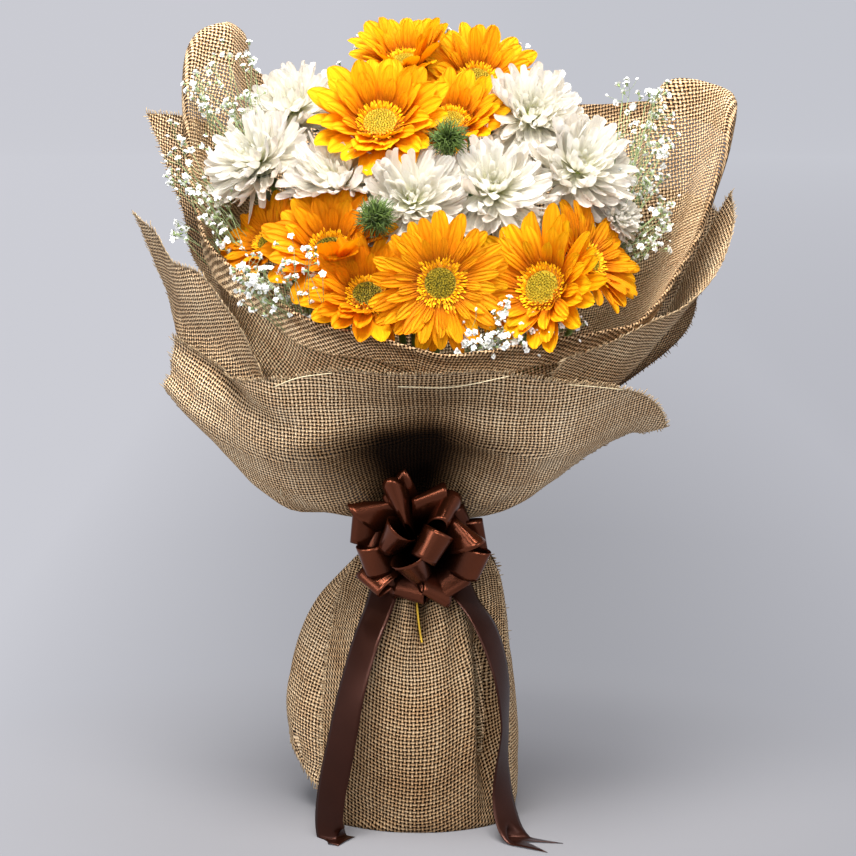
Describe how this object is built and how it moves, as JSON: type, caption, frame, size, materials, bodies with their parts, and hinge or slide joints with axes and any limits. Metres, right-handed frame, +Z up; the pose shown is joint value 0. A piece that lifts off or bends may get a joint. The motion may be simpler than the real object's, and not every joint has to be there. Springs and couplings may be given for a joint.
{
  "type": "wrapped bunch of daisies",
  "caption": "Hand-tied bunch of yellow gerbera and white daisy blooms with fine filler, gathered in coarse cloth sheets, tied at the neck with a ribbon bow and standing on its cloth foot.",
  "frame": {"origin": "on the floor, at the middle of the bunch's outline seen from above", "axes": "+Z up from the cut stem ends to the blooms, -Y towards the front, where the bow is, +X towards the right as seen from the front"},
  "size_m": [0.451, 0.3348, 0.5921],
  "materials": {
    "yellow_petal": "satin petals",
    "white_petal": "satin petals",
    "green_stem": "fresh green stem",
    "leafy_stem": "fresh green stem and leaf",
    "fern": "fine green needles",
    "baby_breath": "fine twigs with white florets",
    "burlap": "coarse open weave",
    "satin_ribbon": "glossy satin",
    "twine": "twisted twine"
  },
  "bodies": {
    "root": {"burlap_inner": "burlap", "burlap_right": "burlap", "burlap_back": "burlap", "burlap_left": "burlap", "burlap_front": "burlap", "stem_tie": "twine", "ribbon_band": "satin_ribbon", "ribbon_bow": "satin_ribbon", "ribbon_tail_left": "satin_ribbon", "ribbon_tail_right": "satin_ribbon", "gerbera_far_left": "yellow_petal", "gerbera_far_right": "yellow_petal", "gerbera_front": "yellow_petal", "gerbera_front_left": "yellow_petal", "gerbera_front_right": "yellow_petal", "gerbera_left": "yellow_petal", "gerbera_top_left": "yellow_petal", "gerbera_top_right": "yellow_petal", "gerbera_upper_left": "yellow_petal", "gerbera_upper_right": "yellow_petal", "chrysanthemum_centre": "white_petal", "chrysanthemum_centre_left": "white_petal", "chrysanthemum_centre_right": "white_petal", "chrysanthemum_left": "white_petal", "chrysanthemum_right": "white_petal", "chrysanthemum_small": "white_petal", "chrysanthemum_upper_left": "white_petal", "chrysanthemum_upper_right": "white_petal", "chrysanthemum_centre_left_stem": "leafy_stem", "chrysanthemum_centre_right_stem": "leafy_stem", "chrysanthemum_centre_stem": "leafy_stem", "chrysanthemum_left_stem": "leafy_stem", "chrysanthemum_right_stem": "leafy_stem", "chrysanthemum_small_stem": "leafy_stem", "chrysanthemum_upper_left_stem": "leafy_stem", "chrysanthemum_upper_right_stem": "leafy_stem", "gerbera_far_left_stem": "green_stem", "gerbera_far_right_stem": "green_stem", "gerbera_front_left_stem": "green_stem", "gerbera_front_right_stem": "green_stem", "gerbera_front_stem": "green_stem", "gerbera_left_stem": "green_stem", "gerbera_top_left_stem": "green_stem", "gerbera_top_right_stem": "green_stem", "gerbera_upper_left_stem": "green_stem", "gerbera_upper_right_stem": "green_stem", "baby_breath_back": "baby_breath", "baby_breath_front_left": "baby_breath", "baby_breath_front_right": "baby_breath", "baby_breath_left": "baby_breath", "baby_breath_right": "baby_breath", "baby_breath_upper_left": "baby_breath", "fern_tip_lower": "fern", "fern_tip_upper": "fern"}
  },
  "joints": []
}
